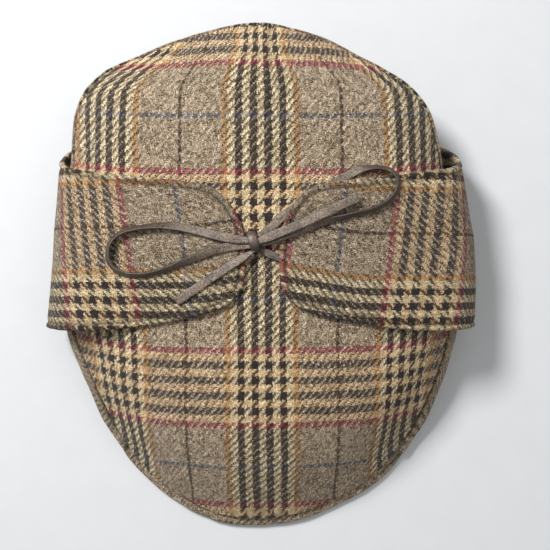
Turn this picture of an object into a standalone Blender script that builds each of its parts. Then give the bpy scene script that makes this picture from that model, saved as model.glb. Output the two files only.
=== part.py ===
"""A tweed cap with one front peak and two ear flaps, turned up and tied over its crown.

It lies as it would on a table: +Z up, +Y towards the back of the head, the peak towards -Y.
The origin is the middle of its outline, at table height.
"""

import math

import bmesh
import bpy
import numpy as np

# Driving sizes, in metres.
LENGTH = 0.276
CROWN_WIDTH = 0.211
CROWN_HEIGHT = 0.062
OPENING_LENGTH = 0.198
OPENING_WIDTH = 0.164
BACK_OVERHANG = 0.020
CLOTH = 0.002
SEAM_INSET = 0.006
HEM = 0.004
PEAK_THICKNESS = 0.003
PEAK_LIFT = 0.001
PEAK_RISE = 0.009
PEAK_MARGIN = 0.003
FLAP_THICKNESS = 0.003
FLAP_CLEARANCE = 0.0005
LEFT_TIP = 0.0072
RIGHT_TIP = 0.0104
LACE_WIDTH = 0.0045
LACE_THICKNESS = 0.0012
KNOT_SIZE = (0.0052, 0.0100, 0.0060)
GAP = 0.0003
BACK_SEAM = 0.0006

# How finely the cloth is divided. The crown's levels count from 0 in its middle over the seam,
# the widest line (5) and the turn below it (6) to the lower edge (7).
SEAM_AT = 4.0
TOP_LEVELS = (0.6, 1.2, 1.7, 2.1, 2.5, 2.8, 3.1, 3.4, 3.7, SEAM_AT)
SIDE_LEVELS = (4.12, 4.35, 4.68, 5.0, 5.5, 6.0, 6.5, 7.0)
CROWN_COLUMNS = 72
SIDE_COLUMNS = 36
PEAK_COLUMNS = 40
PEAK_ROWS = 5
FLAP_ROWS = 30
FLAP_COLUMNS = 9

# The middle of the head opening, where every section of the crown starts.
HEAD_Y = LENGTH / 2 - BACK_OVERHANG - OPENING_LENGTH / 2

# The crown's widest line seen from above, clockwise from the back.
# across: share of half the crown's width, along: share of half the length
OUTLINE = (
    (-0.030, 0.998),
    (0.255, 0.957),
    (0.530, 0.858),
    (0.755, 0.755),
    (0.848, 0.670),
    (0.900, 0.545),
    (0.950, 0.330),
    (1.000, 0.060),
    (1.018, -0.145),
    (0.968, -0.330),
    (0.876, -0.526),
    (0.760, -0.672),
    (0.600, -0.808),
    (0.360, -0.927),
    (0.095, -0.996),
    (-0.175, -0.991),
    (-0.380, -0.920),
    (-0.590, -0.795),
    (-0.765, -0.625),
    (-0.892, -0.425),
    (-0.985, -0.230),
    (-1.010, -0.050),
    (-0.995, 0.220),
    (-0.955, 0.480),
    (-0.922, 0.680),
    (-0.840, 0.778),
    (-0.570, 0.882),
    (-0.300, 0.957),
)

# Sections of the crown, by the angle from straight back.
# near, mid, shoulder, seam, wide: heights at NEAR, MID and SHOULDER of the way out, at the seam
#   and at the widest line, as shares of the height from the peak's top face to the crown's top
# inset: share of SEAM_INSET. reach: how far the lower edge goes from the head opening to the outline
# lift: share of PEAK_LIFT and PEAK_RISE
NEAR = 0.35
MID = 0.60
SHOULDER = 0.80
SECTIONS = (
    # angle, near, mid, shoulder, seam, inset, wide, reach, lift
    (0, 0.995, 0.965, 0.880, 0.64, 0.10, 0.53, 0.00, 0.0),
    (45, 0.990, 0.955, 0.865, 0.62, 0.10, 0.50, 0.00, 0.0),
    (75, 0.985, 0.940, 0.840, 0.55, 0.40, 0.39, 0.00, 0.0),
    (100, 0.980, 0.925, 0.800, 0.48, 0.90, 0.29, 0.00, 0.0),
    (118, 0.980, 0.905, 0.740, 0.43, 1.00, 0.22, 0.16, 0.0),
    (132, 0.975, 0.880, 0.660, 0.28, 1.00, 0.12, 0.68, 0.1),
    (147, 0.970, 0.850, 0.560, 0.05, 0.80, 0.01, 1.00, 0.4),
    (165, 0.965, 0.820, 0.490, 0.00, 0.72, 0.00, 1.00, 0.8),
    (180, 0.960, 0.810, 0.470, 0.00, 0.72, 0.00, 1.00, 1.0),
)
SIDE_END = 147.0
PEAK_START = 116.0

# The turn below the widest line: shares of the way from the lower edge out and up to that line.
LOWER_OUT = 0.72
LOWER_UP = 0.42

# Shallow dents in the crown's top.
# across: share of half the width, along: share of half the length, spread and depth in metres
DENTS = (
    (0.42, -0.68, 0.024, 0.0016),
    (0.28, 0.50, 0.022, 0.0012),
    (-0.45, 0.62, 0.026, 0.0010),
)

# An ear flap's edges, from its tip, across the crown, round its side and down to the rim.
# reach: 0 at the tip, 1 at half the crown's width. along: share of half the length
# height: share of CROWN_HEIGHT; where the crown is higher, the flap lies on the crown
FLAP = (
    # rear reach, along, height, front reach, along, height
    (0.000, 0.135, 0.50, 0.000, 0.045, 0.50),
    (0.012, 0.200, 0.55, 0.010, -0.008, 0.55),
    (0.045, 0.252, 0.60, 0.035, -0.045, 0.60),
    (0.090, 0.300, 0.64, 0.080, -0.076, 0.64),
    (0.150, 0.340, 0.68, 0.150, -0.102, 0.68),
    (0.240, 0.366, 0.72, 0.250, -0.123, 0.74),
    (0.420, 0.383, 0.80, 0.420, -0.145, 0.86),
    (0.680, 0.403, 0.84, 0.680, -0.171, 0.88),
    (0.865, 0.424, 0.80, 0.880, -0.177, 0.82),
    (0.950, 0.440, 0.70, 1.005, -0.177, 0.69),
    (0.995, 0.466, 0.53, 1.072, -0.176, 0.48),
    (0.990, 0.508, 0.33, 1.078, -0.174, 0.28),
    (0.940, 0.550, 0.14, 1.035, -0.170, 0.12),
    (0.860, 0.575, 0.060, 0.950, -0.165, 0.057),
    (0.780, 0.585, 0.055, 0.860, -0.160, 0.055),
)
LAST_RESTING = 8
SETTLE = 0.0015

# The flap's sewn end follows the rim of the head opening, ROOT_OUT outside it, over its last rows.
ROOT_OUT = 0.0092
ROOT_TURN = 2.2

# The ridge in the right flap over the lace that runs under its corner, start and end as seen
# from above, in shares of half the width and half the length.
RIDGE = ((0.10, 0.235), (0.42, 0.395))
RIDGE_SPREAD = 0.008
RIDGE_HEIGHT = 0.0018

# Routes of the flat lace: x, y and z in metres, then its turn in degrees. At 0 it lies flat,
# at 90 it stands on edge with its grain side to the right of its way, at -90 to the left.
LEFT_LOOP = (
    (-0.0062, 0.0216, 0.0679, 0),
    (-0.0130, 0.0223, 0.0679, 0),
    (-0.0213, 0.0239, 0.0673, 5),
    (-0.0315, 0.0266, 0.0666, 18),
    (-0.0416, 0.0284, 0.0665, 45),
    (-0.0523, 0.0289, 0.0661, 75),
    (-0.0624, 0.0278, 0.0648, 90),
    (-0.0705, 0.0256, 0.0634, 90),
    (-0.0756, 0.0215, 0.0624, 90),
    (-0.0777, 0.0155, 0.0616, 90),
    (-0.0772, 0.0108, 0.0616, 90),
    (-0.0746, 0.0076, 0.0620, 90),
    (-0.0700, 0.0050, 0.0628, 90),
    (-0.0614, 0.0038, 0.0642, 90),
    (-0.0498, 0.0060, 0.0659, 85),
    (-0.0416, 0.0091, 0.0666, 70),
    (-0.0315, 0.0131, 0.0670, 50),
    (-0.0213, 0.0170, 0.0669, 25),
    (-0.0130, 0.0186, 0.0664, 0),
    (-0.0062, 0.0188, 0.0664, 0),
)
RIGHT_LOOP = (
    (0.0004, 0.0240, 0.0644, 0),
    (0.0055, 0.0276, 0.0636, 0),
    (0.0126, 0.0344, 0.0628, 0),
    (0.0208, 0.0400, 0.0625, 0),
    (0.0314, 0.0465, 0.0619, 0),
    (0.0411, 0.0526, 0.0614, 0),
    (0.0450, 0.0549, 0.0610, 0),
    (0.0486, 0.0568, 0.0610, -12),
    (0.0525, 0.0582, 0.0616, -50),
    (0.0570, 0.0590, 0.0615, -82),
    (0.0610, 0.0592, 0.0611, -90),
    (0.0650, 0.0585, 0.0612, -90),
    (0.0690, 0.0563, 0.0622, -90),
    (0.0710, 0.0525, 0.0627, -90),
    (0.0709, 0.0485, 0.0626, -90),
    (0.0693, 0.0453, 0.0629, -90),
    (0.0654, 0.0413, 0.0638, -90),
    (0.0588, 0.0376, 0.0650, -90),
    (0.0492, 0.0350, 0.0663, -90),
    (0.0416, 0.0331, 0.0670, -85),
    (0.0350, 0.0315, 0.0674, -65),
    (0.0294, 0.0300, 0.0675, -40),
    (0.0220, 0.0275, 0.0676, -15),
    (0.0130, 0.0240, 0.0676, 0),
    (0.0060, 0.0216, 0.0669, 0),
    (0.0003, 0.0200, 0.0662, 0),
)
LEFT_TAIL = (
    (-0.0040, 0.0152, 0.0675, 40),
    (-0.0085, 0.0126, 0.0675, 28),
    (-0.0130, 0.0098, 0.0668, 15),
    (-0.0190, 0.0060, 0.0663, 5),
    (-0.0245, 0.0024, 0.0660, 0),
    (-0.0330, -0.0034, 0.0654, 0),
    (-0.0422, -0.0098, 0.0643, 0),
)
RIGHT_TAIL = (
    (0.0002, 0.0212, 0.0678, 0),
    (0.0070, 0.0240, 0.0687, 0),
    (0.0150, 0.0272, 0.0698, 0),
    (0.0250, 0.0315, 0.0706, 0),
    (0.0340, 0.0357, 0.0704, 0),
    (0.0420, 0.0396, 0.0694, 0),
    (0.0503, 0.0434, 0.0680, 0),
)
LEFT_ROOT = (
    (-0.0062, 0.0134, 0.0639, 0),
    (-0.0044, 0.0141, 0.0636, 0),
    (-0.0026, 0.0148, 0.0633, 0),
)
RIGHT_ROOT = (
    (0.0093, 0.0130, 0.0639, 0),
    (0.0060, 0.0144, 0.0637, 0),
    (0.0025, 0.0160, 0.0634, 0),
    (-0.0008, 0.0176, 0.0632, 0),
)
LACE_STEP = 0.0045

# The knot: KNOT_CAGE is how much larger the box is that its rounded shape is smoothed from.
KNOT_PLACE = (-0.0028, 0.0207, 0.0664)
KNOT_LEAN = 8.0
KNOT_CAGE = 1.2

CROWN_TWEED = (0.30, 0.24, 0.15)
BAND_TWEED = (0.26, 0.21, 0.14)
LEATHER = (0.18, 0.14, 0.115)
TWEED_ROUGHNESS = 0.95
LEATHER_ROUGHNESS = 0.5


def clear_scene():
    for item in list(bpy.data.objects):
        bpy.data.objects.remove(item, do_unlink=True)


def spline(knots, values, at):
    """Smooth curve through rows of values at rising knots (Hermite, slopes from the neighbours)."""
    knots = np.asarray(knots, float)
    values = np.asarray(values, float)
    slopes = np.gradient(values, knots, axis=0)
    slopes[1:-1] = (values[2:] - values[:-2]) / (knots[2:] - knots[:-2])[:, None]
    at = np.clip(np.asarray(at, float), knots[0], knots[-1])
    i = np.clip(np.searchsorted(knots, at, side="right") - 1, 0, len(knots) - 2)
    width = (knots[i + 1] - knots[i])[..., None]
    t = ((at - knots[i]) / width[..., 0])[..., None]
    start = values[i] * (1 + 2 * t) * (1 - t) ** 2 + slopes[i] * width * t * (1 - t) ** 2
    end = values[i + 1] * t * t * (3 - 2 * t) - slopes[i + 1] * width * t * t * (1 - t)
    return start + end


def ease(x):
    x = np.clip(x, 0, 1)
    return x * x * (3 - 2 * x)


def wrapped(angle):
    """The same direction between -180 and 180 degrees."""
    return (np.asarray(angle, float) + 180) % 360 - 180


def outline_radius(angle):
    """Distance from the head's middle to the widest line, in the direction of the angle."""
    points = np.array(OUTLINE) * (CROWN_WIDTH / 2, LENGTH / 2) - (0, HEAD_Y)
    angles = np.degrees(np.arctan2(points[:, 0], points[:, 1]))
    order = np.argsort(angles)
    angles = angles[order]
    radii = np.hypot(*points[order].T)
    knots = np.concatenate([angles[-3:] - 360, angles, angles[:3] + 360])
    values = np.concatenate([radii[-3:], radii, radii[:3]])
    return spline(knots, values[:, None], wrapped(angle))[..., 0]


def opening_radius(angle):
    """Distance from the head's middle to the rim of the head opening."""
    turn = np.radians(angle)
    across = 2 * np.sin(turn) / OPENING_WIDTH
    along = 2 * np.cos(turn) / OPENING_LENGTH
    return 1 / np.hypot(across, along)


def section_shares(angle):
    """The columns of SECTIONS at the angle; left and right are alike."""
    rows = np.array(SECTIONS, float)
    behind = rows[1:2] * ([-1] + [1] * 8)
    before = rows[-2:-1] * ([-1] + [1] * 8) + ([360] + [0] * 8)
    rows = np.concatenate([behind, rows, before])
    shares = spline(rows[:, 0], rows[:, 1:], np.abs(wrapped(angle)))
    reach = np.clip(shares[..., 6], 0, 1)
    lift = np.clip(shares[..., 7], 0, 1)
    return shares, reach, lift


def peak_height(angle, radius):
    """Height of the peak's top face."""
    lift = section_shares(angle)[2]
    outer = outline_radius(angle)
    inward = (outer - radius) / (outer - opening_radius(angle))
    return PEAK_THICKNESS + lift * (PEAK_LIFT + PEAK_RISE * inward)


def lower_edge(angle, inward=0.0):
    """Radius and height of the crown's lower edge, or of a line that far inside it."""
    reach = section_shares(angle)[1]
    rim = opening_radius(angle)
    on_peak = ease(reach / 0.1)
    radius = rim + reach * (outline_radius(angle) - rim) - PEAK_MARGIN * on_peak - inward
    return radius, on_peak * (peak_height(angle, radius) + GAP)


def crown_section(angle):
    """Points (radius, height) of the crown's section, from its middle to its lower edge."""
    shares = section_shares(angle)[0]
    outer = outline_radius(angle)
    seam_radius = outer - SEAM_INSET * shares[..., 4]
    base = peak_height(angle, seam_radius - CLOTH) + CLOTH + GAP
    span = CROWN_HEIGHT - base
    heights = [base + span * shares[..., column] for column in (0, 1, 2, 3, 5)]
    low_radius, low_height = lower_edge(angle)
    top = np.full_like(outer, CROWN_HEIGHT)
    radii = [-NEAR * outer, 0 * outer, NEAR * outer, MID * outer, SHOULDER * outer, seam_radius, outer]
    heights = [heights[0], top] + heights
    radii.append(low_radius + LOWER_OUT * (outer - low_radius))
    heights.append(low_height + LOWER_UP * (heights[-1] - low_height))
    radii.append(low_radius)
    heights.append(low_height)
    return np.stack([np.stack(radii, -1), np.stack(heights, -1)], -1)


def on_section(points, at):
    """The place on one section: at is 0 in the middle, SEAM_AT at the seam and 7 at the lower edge."""
    steps = np.sqrt(np.hypot(*np.diff(points, axis=0).T))
    knots = np.concatenate([[0], np.cumsum(steps)])
    return spline(knots, points, np.interp(at, np.arange(len(points)) - 1, knots))


def dented(place, at):
    """The crown's places with the dents pressed in, fading out towards the seam."""
    fade = ease(SEAM_AT - at)
    for across, along, spread, depth in DENTS:
        away = (place[:, 0] - across * CROWN_WIDTH / 2) ** 2 + (place[:, 1] - along * LENGTH / 2) ** 2
        place[:, 2] -= depth * fade * np.exp(-away / spread**2)
    return place


def crown_point(angle, at):
    """Places on the crown's outer face for one angle."""
    radius, height = on_section(crown_section(np.float64(angle)), at).T
    turn = math.radians(angle)
    place = np.stack([radius * math.sin(turn), HEAD_Y + radius * math.cos(turn), height], 1)
    return dented(place, np.asarray(at))


def crown_height(across, along):
    """Height of the crown's top panel at a place seen from above."""
    angle = math.degrees(math.atan2(across, along - HEAD_Y))
    steps = np.linspace(0, SEAM_AT, 60)
    fine = on_section(crown_section(np.float64(angle)), steps)
    radius = math.hypot(across, along - HEAD_Y)
    height = np.interp(radius, fine[:, 0], fine[:, 1], right=-1.0)
    at = np.interp(radius, fine[:, 0], steps)
    return dented(np.array([[across, along, height]]), at)[0, 2]


def material(name, colour, roughness):
    made = bpy.data.materials.new(name)
    made.use_nodes = True
    surface = made.node_tree.nodes["Principled BSDF"]
    surface.inputs["Base Color"].default_value = (*colour, 1)
    surface.inputs["Roughness"].default_value = roughness
    surface.inputs["Metallic"].default_value = 0
    return made


def new_object(name, data, collection, finish):
    made = bpy.data.objects.new(name, data)
    collection.objects.link(made)
    data.materials.append(finish)
    return made


def sheet(name, grid, collection, finish, centre=None, closed=False):
    """An open surface from rows of places; closed joins each row's ends, centre fills the first row."""
    mesh = bmesh.new()
    rows = [[mesh.verts.new(place) for place in row] for row in grid]
    count = len(rows[0])
    for upper, lower in zip(rows, rows[1:]):
        for i in range(count if closed else count - 1):
            j = (i + 1) % count
            mesh.faces.new((upper[i], upper[j], lower[j], lower[i]))
    if centre is not None:
        middle = mesh.verts.new(centre)
        for i in range(count):
            mesh.faces.new((middle, rows[0][(i + 1) % count], rows[0][i]))
    data = bpy.data.meshes.new(name)
    mesh.to_mesh(data)
    mesh.free()
    data.shade_smooth()
    return new_object(name, data, collection, finish)


def thicken(item, thickness, outward=False):
    solid = item.modifiers.new("Thickness", "SOLIDIFY")
    solid.thickness = thickness
    solid.offset = 1 if outward else -1
    solid.use_even_offset = True
    solid.use_quality_normals = True


def make_top_panel(collection):
    angles = np.arange(CROWN_COLUMNS) * 360 / CROWN_COLUMNS
    columns = [crown_point(angle, TOP_LEVELS) for angle in angles]
    grid = [[column[i] for column in columns] for i in range(len(TOP_LEVELS))]
    finish = material("top_tweed", CROWN_TWEED, TWEED_ROUGHNESS)
    centre = crown_point(0, [0.0])[0]
    thicken(sheet("top_panel", grid, collection, finish, centre, closed=True), CLOTH)


def make_side_panel(name, side, collection):
    """A side panel, from the back seam round to its front end on the peak."""
    grid = []
    for angle in np.linspace(0, SIDE_END, SIDE_COLUMNS + 1):
        column = crown_point(side * angle, SIDE_LEVELS)
        radius, height = lower_edge(np.float64(side * angle), HEM)
        turn = math.radians(side * angle)
        hem = (radius * math.sin(turn), HEAD_Y + radius * math.cos(turn), height)
        column = np.concatenate([column, [hem]]) + (side * BACK_SEAM / 2, 0, 0)
        grid.append(column)
    if side > 0:
        grid.reverse()
    finish = material(name + "_tweed", BAND_TWEED, TWEED_ROUGHNESS)
    thicken(sheet(name, grid, collection, finish), CLOTH)


def make_peak(collection):
    inward = np.linspace(0, 1, PEAK_ROWS + 1)
    grid = []
    for angle in np.linspace(PEAK_START, 360 - PEAK_START, PEAK_COLUMNS + 1):
        angle = np.float64(angle)
        rim = opening_radius(angle)
        outer = rim + section_shares(angle)[1] * (outline_radius(angle) - rim)
        radius = outer + (rim - outer) * inward
        turn = math.radians(angle)
        height = peak_height(angle, radius)
        grid.append(np.stack([radius * math.sin(turn), HEAD_Y + radius * math.cos(turn), height], 1))
    finish = material("peak_tweed", BAND_TWEED, TWEED_ROUGHNESS)
    thicken(sheet("peak", grid, collection, finish), PEAK_THICKNESS)


def ridge_distance(x, y):
    """Distance from the line of the lace under the right flap, seen from above."""
    start, end = np.array(RIDGE) * (CROWN_WIDTH / 2, LENGTH / 2)
    along = (end - start) / np.linalg.norm(end - start)
    share = np.clip((np.array([x, y]) - start) @ along, 0, np.linalg.norm(end - start))
    return float(np.linalg.norm(np.array([x, y]) - start - share * along))


def flap_point(side, tip, row, across):
    """A place on the flap's inner face; across runs from its rear edge (0) to its front edge (1)."""
    table = np.array(FLAP)
    rear_reach, rear_along, rear_height, reach, along, height = spline(np.arange(len(FLAP)), table, row)
    reach = rear_reach + (reach - rear_reach) * across
    along = rear_along + (along - rear_along) * across
    height = rear_height + (height - rear_height) * across
    y = along * LENGTH / 2
    beside = (y - HEAD_Y) / (OPENING_LENGTH / 2)
    rim = OPENING_WIDTH / 2 * math.sqrt(1 - beside * beside) + ROOT_OUT
    tuck = float(ease((row - len(FLAP) + 1) / ROOT_TURN + 1))
    x = tip + reach * (CROWN_WIDTH / 2 - tip)
    x = side * (x + (rim - x) * tuck)
    free = height * CROWN_HEIGHT
    if row > LAST_RESTING:
        return x, y, free
    resting = crown_height(x, y) + FLAP_CLEARANCE
    over = max(free, resting) + SETTLE * math.log1p(math.exp(-abs(free - resting) / SETTLE))
    if side > 0:
        over += RIDGE_HEIGHT * math.exp(-((ridge_distance(x, y) / RIDGE_SPREAD) ** 2))
    return x, y, over


def make_flap(name, side, tip, collection):
    rows = np.linspace(0, len(FLAP) - 1, FLAP_ROWS + 1)
    grid = [[flap_point(side, tip, row, w) for w in np.linspace(0, 1, FLAP_COLUMNS)] for row in rows]
    if side < 0:
        grid.reverse()
    finish = material(name + "_tweed", CROWN_TWEED, TWEED_ROUGHNESS)
    thicken(sheet(name, grid, collection, finish), FLAP_THICKNESS, outward=True)


def make_lace(name, route, collection, finish):
    """A flat lace on a smooth curve through the route's points."""
    points = np.array(route)
    steps = np.linalg.norm(np.diff(points[:, :3], axis=0), axis=1)
    knots = np.concatenate([[0], np.cumsum(steps)])
    count = max(4, round(knots[-1] / LACE_STEP) + 1)
    smooth = spline(knots, points, np.linspace(0, knots[-1], count))
    curve = bpy.data.curves.new(name, "CURVE")
    curve.dimensions = "3D"
    curve.twist_mode = "Z_UP"
    curve.fill_mode = "FULL"
    curve.bevel_depth = LACE_THICKNESS / 2
    curve.bevel_resolution = 1
    curve.extrude = (LACE_WIDTH - LACE_THICKNESS) / 2
    curve.use_fill_caps = True
    line = curve.splines.new("POLY")
    line.points.add(count - 1)
    for point, (x, y, z, turn) in zip(line.points, smooth):
        point.co = (x, y, z, 1)
        point.tilt = math.radians(turn - 90)
    return new_object(name, curve, collection, finish)


def make_knot(collection, finish):
    """The knot, a rounded lump from a box cage."""
    mesh = bmesh.new()
    bmesh.ops.create_cube(mesh, size=1)
    bmesh.ops.scale(mesh, vec=[KNOT_CAGE * side for side in KNOT_SIZE], verts=mesh.verts)
    data = bpy.data.meshes.new("lace_knot")
    mesh.to_mesh(data)
    mesh.free()
    data.shade_smooth()
    knot = new_object("lace_knot", data, collection, finish)
    knot.location = KNOT_PLACE
    knot.rotation_euler = (0, 0, math.radians(KNOT_LEAN))
    rounding = knot.modifiers.new("Rounding", "SUBSURF")
    rounding.levels = 2
    rounding.render_levels = 2


def main():
    clear_scene()
    cap = bpy.data.collections.new("ear_flap_cap")
    bpy.context.scene.collection.children.link(cap)
    make_top_panel(cap)
    make_side_panel("side_panel_left", -1, cap)
    make_side_panel("side_panel_right", 1, cap)
    make_peak(cap)
    make_flap("ear_flap_left", -1, LEFT_TIP, cap)
    make_flap("ear_flap_right", 1, RIGHT_TIP, cap)
    leather = material("lace_leather", LEATHER, LEATHER_ROUGHNESS)
    make_knot(cap, leather)
    make_lace("lace_loop_left", LEFT_LOOP, cap, leather)
    make_lace("lace_loop_right", RIGHT_LOOP, cap, leather)
    make_lace("lace_tail_left", LEFT_TAIL, cap, leather)
    make_lace("lace_tail_right", RIGHT_TAIL, cap, leather)
    make_lace("lace_root_left", LEFT_ROOT, cap, leather)
    make_lace("lace_root_right", RIGHT_ROOT, cap, leather)


main()
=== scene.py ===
"""The looks of a tweed ear-flap cap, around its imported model.

Metres, +Z up, +Y to the back of the head. Each panel of cloth is its CAD solid made fine and
soft, with every thread of the tweed counted across it; the lace is swept along its own route.
"""

import math

import bmesh
import bpy
import numpy as np
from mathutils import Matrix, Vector, kdtree, noise
from mathutils.bvhtree import BVHTree


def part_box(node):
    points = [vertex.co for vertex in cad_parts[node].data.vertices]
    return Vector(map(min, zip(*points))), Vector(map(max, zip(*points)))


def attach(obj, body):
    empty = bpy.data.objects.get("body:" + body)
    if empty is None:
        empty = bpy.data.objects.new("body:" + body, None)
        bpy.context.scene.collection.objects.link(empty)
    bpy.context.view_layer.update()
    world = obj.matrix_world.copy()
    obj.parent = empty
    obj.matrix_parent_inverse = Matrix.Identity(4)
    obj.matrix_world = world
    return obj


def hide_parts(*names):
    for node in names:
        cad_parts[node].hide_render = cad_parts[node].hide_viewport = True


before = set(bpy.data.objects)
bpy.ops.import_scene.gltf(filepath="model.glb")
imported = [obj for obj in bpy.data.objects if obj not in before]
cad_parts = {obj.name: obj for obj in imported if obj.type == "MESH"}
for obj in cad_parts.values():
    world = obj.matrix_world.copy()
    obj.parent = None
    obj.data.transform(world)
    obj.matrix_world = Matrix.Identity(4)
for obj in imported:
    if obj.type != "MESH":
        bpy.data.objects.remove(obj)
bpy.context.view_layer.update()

# The camera hangs straight over the cap.
CAMERA = (0.00808, 0.0040, 0.600)
LENS = 68.9
SENSOR = 36.0

# The head's middle, from which the crown's outer side is told from its inner side.
HEAD = (0.0, 0.019, 0.015)

# The tweed: threads in one repeat of the warp and of the weft, and their pitch.
# A group of bands is GROUP threads wide and made of bands of BAND threads; a line of EDGE threads
# runs along each side of it.
WARP_REPEAT = 88
WEFT_REPEAT = 90
GROUP = 36
BAND = 4
EDGE = 3
PITCH = 0.00101
FINE_LINE = 2.0

# Colours of the yarns as the eye sees them, 0 to 255. The plain ground is a little darker across.
WARP_GROUND = (166, 149, 124)
WEFT_GROUND = (142, 126, 104)
CREAM = (213, 196, 158)
WARP_DARK = (48, 42, 37)
MUSTARD = (176, 134, 84)
PEACH = (208, 176, 133)
WEFT_DARK = (58, 48, 47)
MAROON = (148, 62, 74)
BLUE = (88, 92, 106)
BROWN = (78, 62, 48)

# Where the pattern lies on the crown: the weft's thread number along the middle line, and y.
WEFT_PLACES = (
    (-61, -0.1385),
    (-51, -0.1233),
    (0, -0.0747),
    (39, -0.0350),
    (90, 0.0178),
    (129, 0.0567),
    (180, 0.1143),
    (205, 0.1390),
)
# Lengths along the cloth count from WEFT_START. The weft bows back by WEFT_BOW at BOW_REACH from
# the middle line.
WEFT_START = 0.0178
WEFT_BOW = 0.0045
BOW_REACH = 0.090
# From here to here the back's slope begins to count in the lengths along the cloth.
BACK_SLOPE = (0.060, 0.090)
# The cloth lies fuller across here, under the flaps' front edges.
FULL_PLACE = -0.030
FULL_REACH = 0.040
FULLNESS = 0.07
# The warp: its pitch, where its middle lies and how it leans with y. At the back the top is
# gathered in, so that the threads lie closer.
WARP_PITCH = 0.00095
WARP_MIDDLE = 0.0011
WARP_LEAN = -0.0065
BACK_PLEAT = 0.34
BACK_PLEAT_START = 0.098
BACK_PLEAT_LENGTH = 0.030

# Where it lies on each flap. mustard_y: its mustard line out on the side, tip_rise: how far the
# line climbs at the tip and within tip_reach of the middle, reds: the lengths over the cloth from
# the tip to the three red lines, slant: how the lines across lean outwards towards the back, warp:
# the warp's pitch.
FLAPS = {
    "left": {
        "side": -1,
        "mustard_y": 0.0055,
        "tip_rise": 0.0040,
        "tip_reach": 0.040,
        "reds": (0.0030, 0.0616, 0.1003),
        "slant": 0.148,
        "warp": 0.00094,
    },
    "right": {
        "side": 1,
        "mustard_y": 0.0024,
        "tip_rise": 0.0075,
        "tip_reach": 0.060,
        "reds": (0.0020, 0.0561, 0.0959),
        "slant": 0.125,
        "warp": 0.00094,
    },
}
# Those three lines' thread numbers. The numbers run on evenly for BEYOND_FLAP past the outer two.
RED_THREADS = (-51, 0, 39)
BEYOND_FLAP = 0.060
# A flap's outer side is found from its axis (how far out, how high) at these turns in degrees.
FLAP_AXIS = (0.062, 0.024)
FLAP_TURNS = (-86, 150, 2.0)
RAY_LENGTH = 0.2

# The band round the side is cut plain from the flaps' middle on to the front. Its threads are
# counted round it, and down from its widest line, the turned-in parts by these shares of their
# depth.
PLAIN_FROM = 0.030
PLAIN_TO = 0.005
SIDE_WIDEST = 0.018
SIDE_FIRST = 64
SIDE_TURNED_TOP = 0.5
SIDE_TURNED_LOW = 0.8
SIDE_PARTS = 72

# The crown's heights are sampled on a grid with this step, to this y.
GRID_STEP = 0.002
GRID_REACH = 0.16

# Threads in one repeat of the twill, and where its floats begin.
TWILL = 4.0
WARP_FIRST = 1.0
WEFT_FIRST = -2.0
# The share of its way that a warp thread is seen, a little more than the weft.
WARP_SEEN = 0.55
# A dyed yarn covers more of its way than the ground's, and is less mottled. Warp and weft shine
# through each other's fibres a little.
DYED_SEEN = 0.18
DYED_MOTTLE = 0.55
HAZE = 0.10
# How far threads wander and fray, in threads, and how much floats, fibres and patches differ.
WOBBLE = 1.7
FRAY = 2.4
SPECKLE = 1.0
FIBRE = 6.0
CLOUD = 0.25
# How fine these differences are, a metre.
WOBBLE_SCALE = 380.0
FRAY_SCALE = 1700.0
FIBRE_SCALE = 1900.0
CLOUD_SCALE = 45.0
# A float's painted shade: how dark it is painted at its ends and sides, where it dips under, and
# how much lighter it is painted in its middle; then the darkest a thread gets, and the relief of
# floats and fibres.
FLOAT_LOW = 0.60
FLOAT_RISE = 0.60
DARKEST = 0.10
THREAD_RELIEF = 0.00030
FIBRE_RELIEF = 1.2
# The flaps' shade against the crown's, and the tints of dark and of light floats.
FLAP_SHADE = 0.80
WARM = (1.08, 1.00, 0.86, 1.0)
COOL = (0.98, 1.00, 1.10, 1.0)

# Triangles that turn less than FLAT are joined; edges that turn more than SHARP, in degrees, are
# rims. They are creased by CREASE and noted as points every RIM_STEP.
FLAT = 40
SHARP = 50
CREASE = 0.4
RIM_STEP = 0.0004

# The cloth's waves: height and size. They are calmer under the bow. Along the rims it puckers.
WAVES = ((0.0007, 0.028), (0.0003, 0.011))
CALM_PLACE = 0.020
CALM_REACH = 0.050
CALM_FROM = 0.052
CALM_RISE = 0.006
CALM = 0.75
PUCKER = 0.00035
PUCKER_SIZE = 0.006

# Turned edges: the roll at the edge, the groove that the stitches draw in, and the stitches.
ROLL = 0.00035
GROOVE_IN = 0.0030
GROOVE_WIDTH = 0.0010
GROOVE_DEPTH = 0.0008
# Painted shade: how much darker the cloth is painted along its rims and in the stitched groove,
# where shade falls, and how wide these bands of shade are.
EDGE_SHADE = 0.20
GROOVE_SHADE = 0.55
SHADE_WIDTH = 0.0008
STITCH = 0.0024
STITCH_GAP = 0.0009
STITCH_THICK = 0.00042
STITCH_SWELL = (0.35, 0.9, 1.0, 0.9, 0.35)
STITCH_RISE = (-0.5, 0.1, 0.25, 0.1, -0.5)
THREAD = (92, 76, 56)

# The band's front ends run out over this length.
TAPER_LENGTH = 0.024
TAPER_IN = 0.0017
# The crown grows wider by these shares, from y 0 on and from SWELL_FROM on, over these lengths.
SWELL_SIDES = 0.018
SWELL_SIDES_LENGTH = 0.030
SWELL_FRONT = 0.065
SWELL_FROM = -0.060
SWELL_LENGTH = 0.065
# The right flap's side swells by FILL about this y, outside this x.
FILL = 0.0042
FILL_PLACE = 0.018
FILL_REACH = 0.036
FILL_FROM = 0.086
FILL_EDGE = 0.018
# The dart at the back: its x, the y where it begins and its run-in, its width, depth and the shade
# painted into its crease.
DART_PLACE = 0.0055
DART_FROM = 0.084
DART_START = 0.012
DART_WIDTH = 0.0015
DART_DEPTH = 0.0015
DART_SHADE = 0.32

# The lace and its sampling along its way.
LACE_WIDTH = 0.0045
LACE_THICKNESS = 0.0012
LACE_STEP = 0.0011
# How square its section is, across and up.
SECTION_POWERS = (0.3, 0.55)
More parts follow.
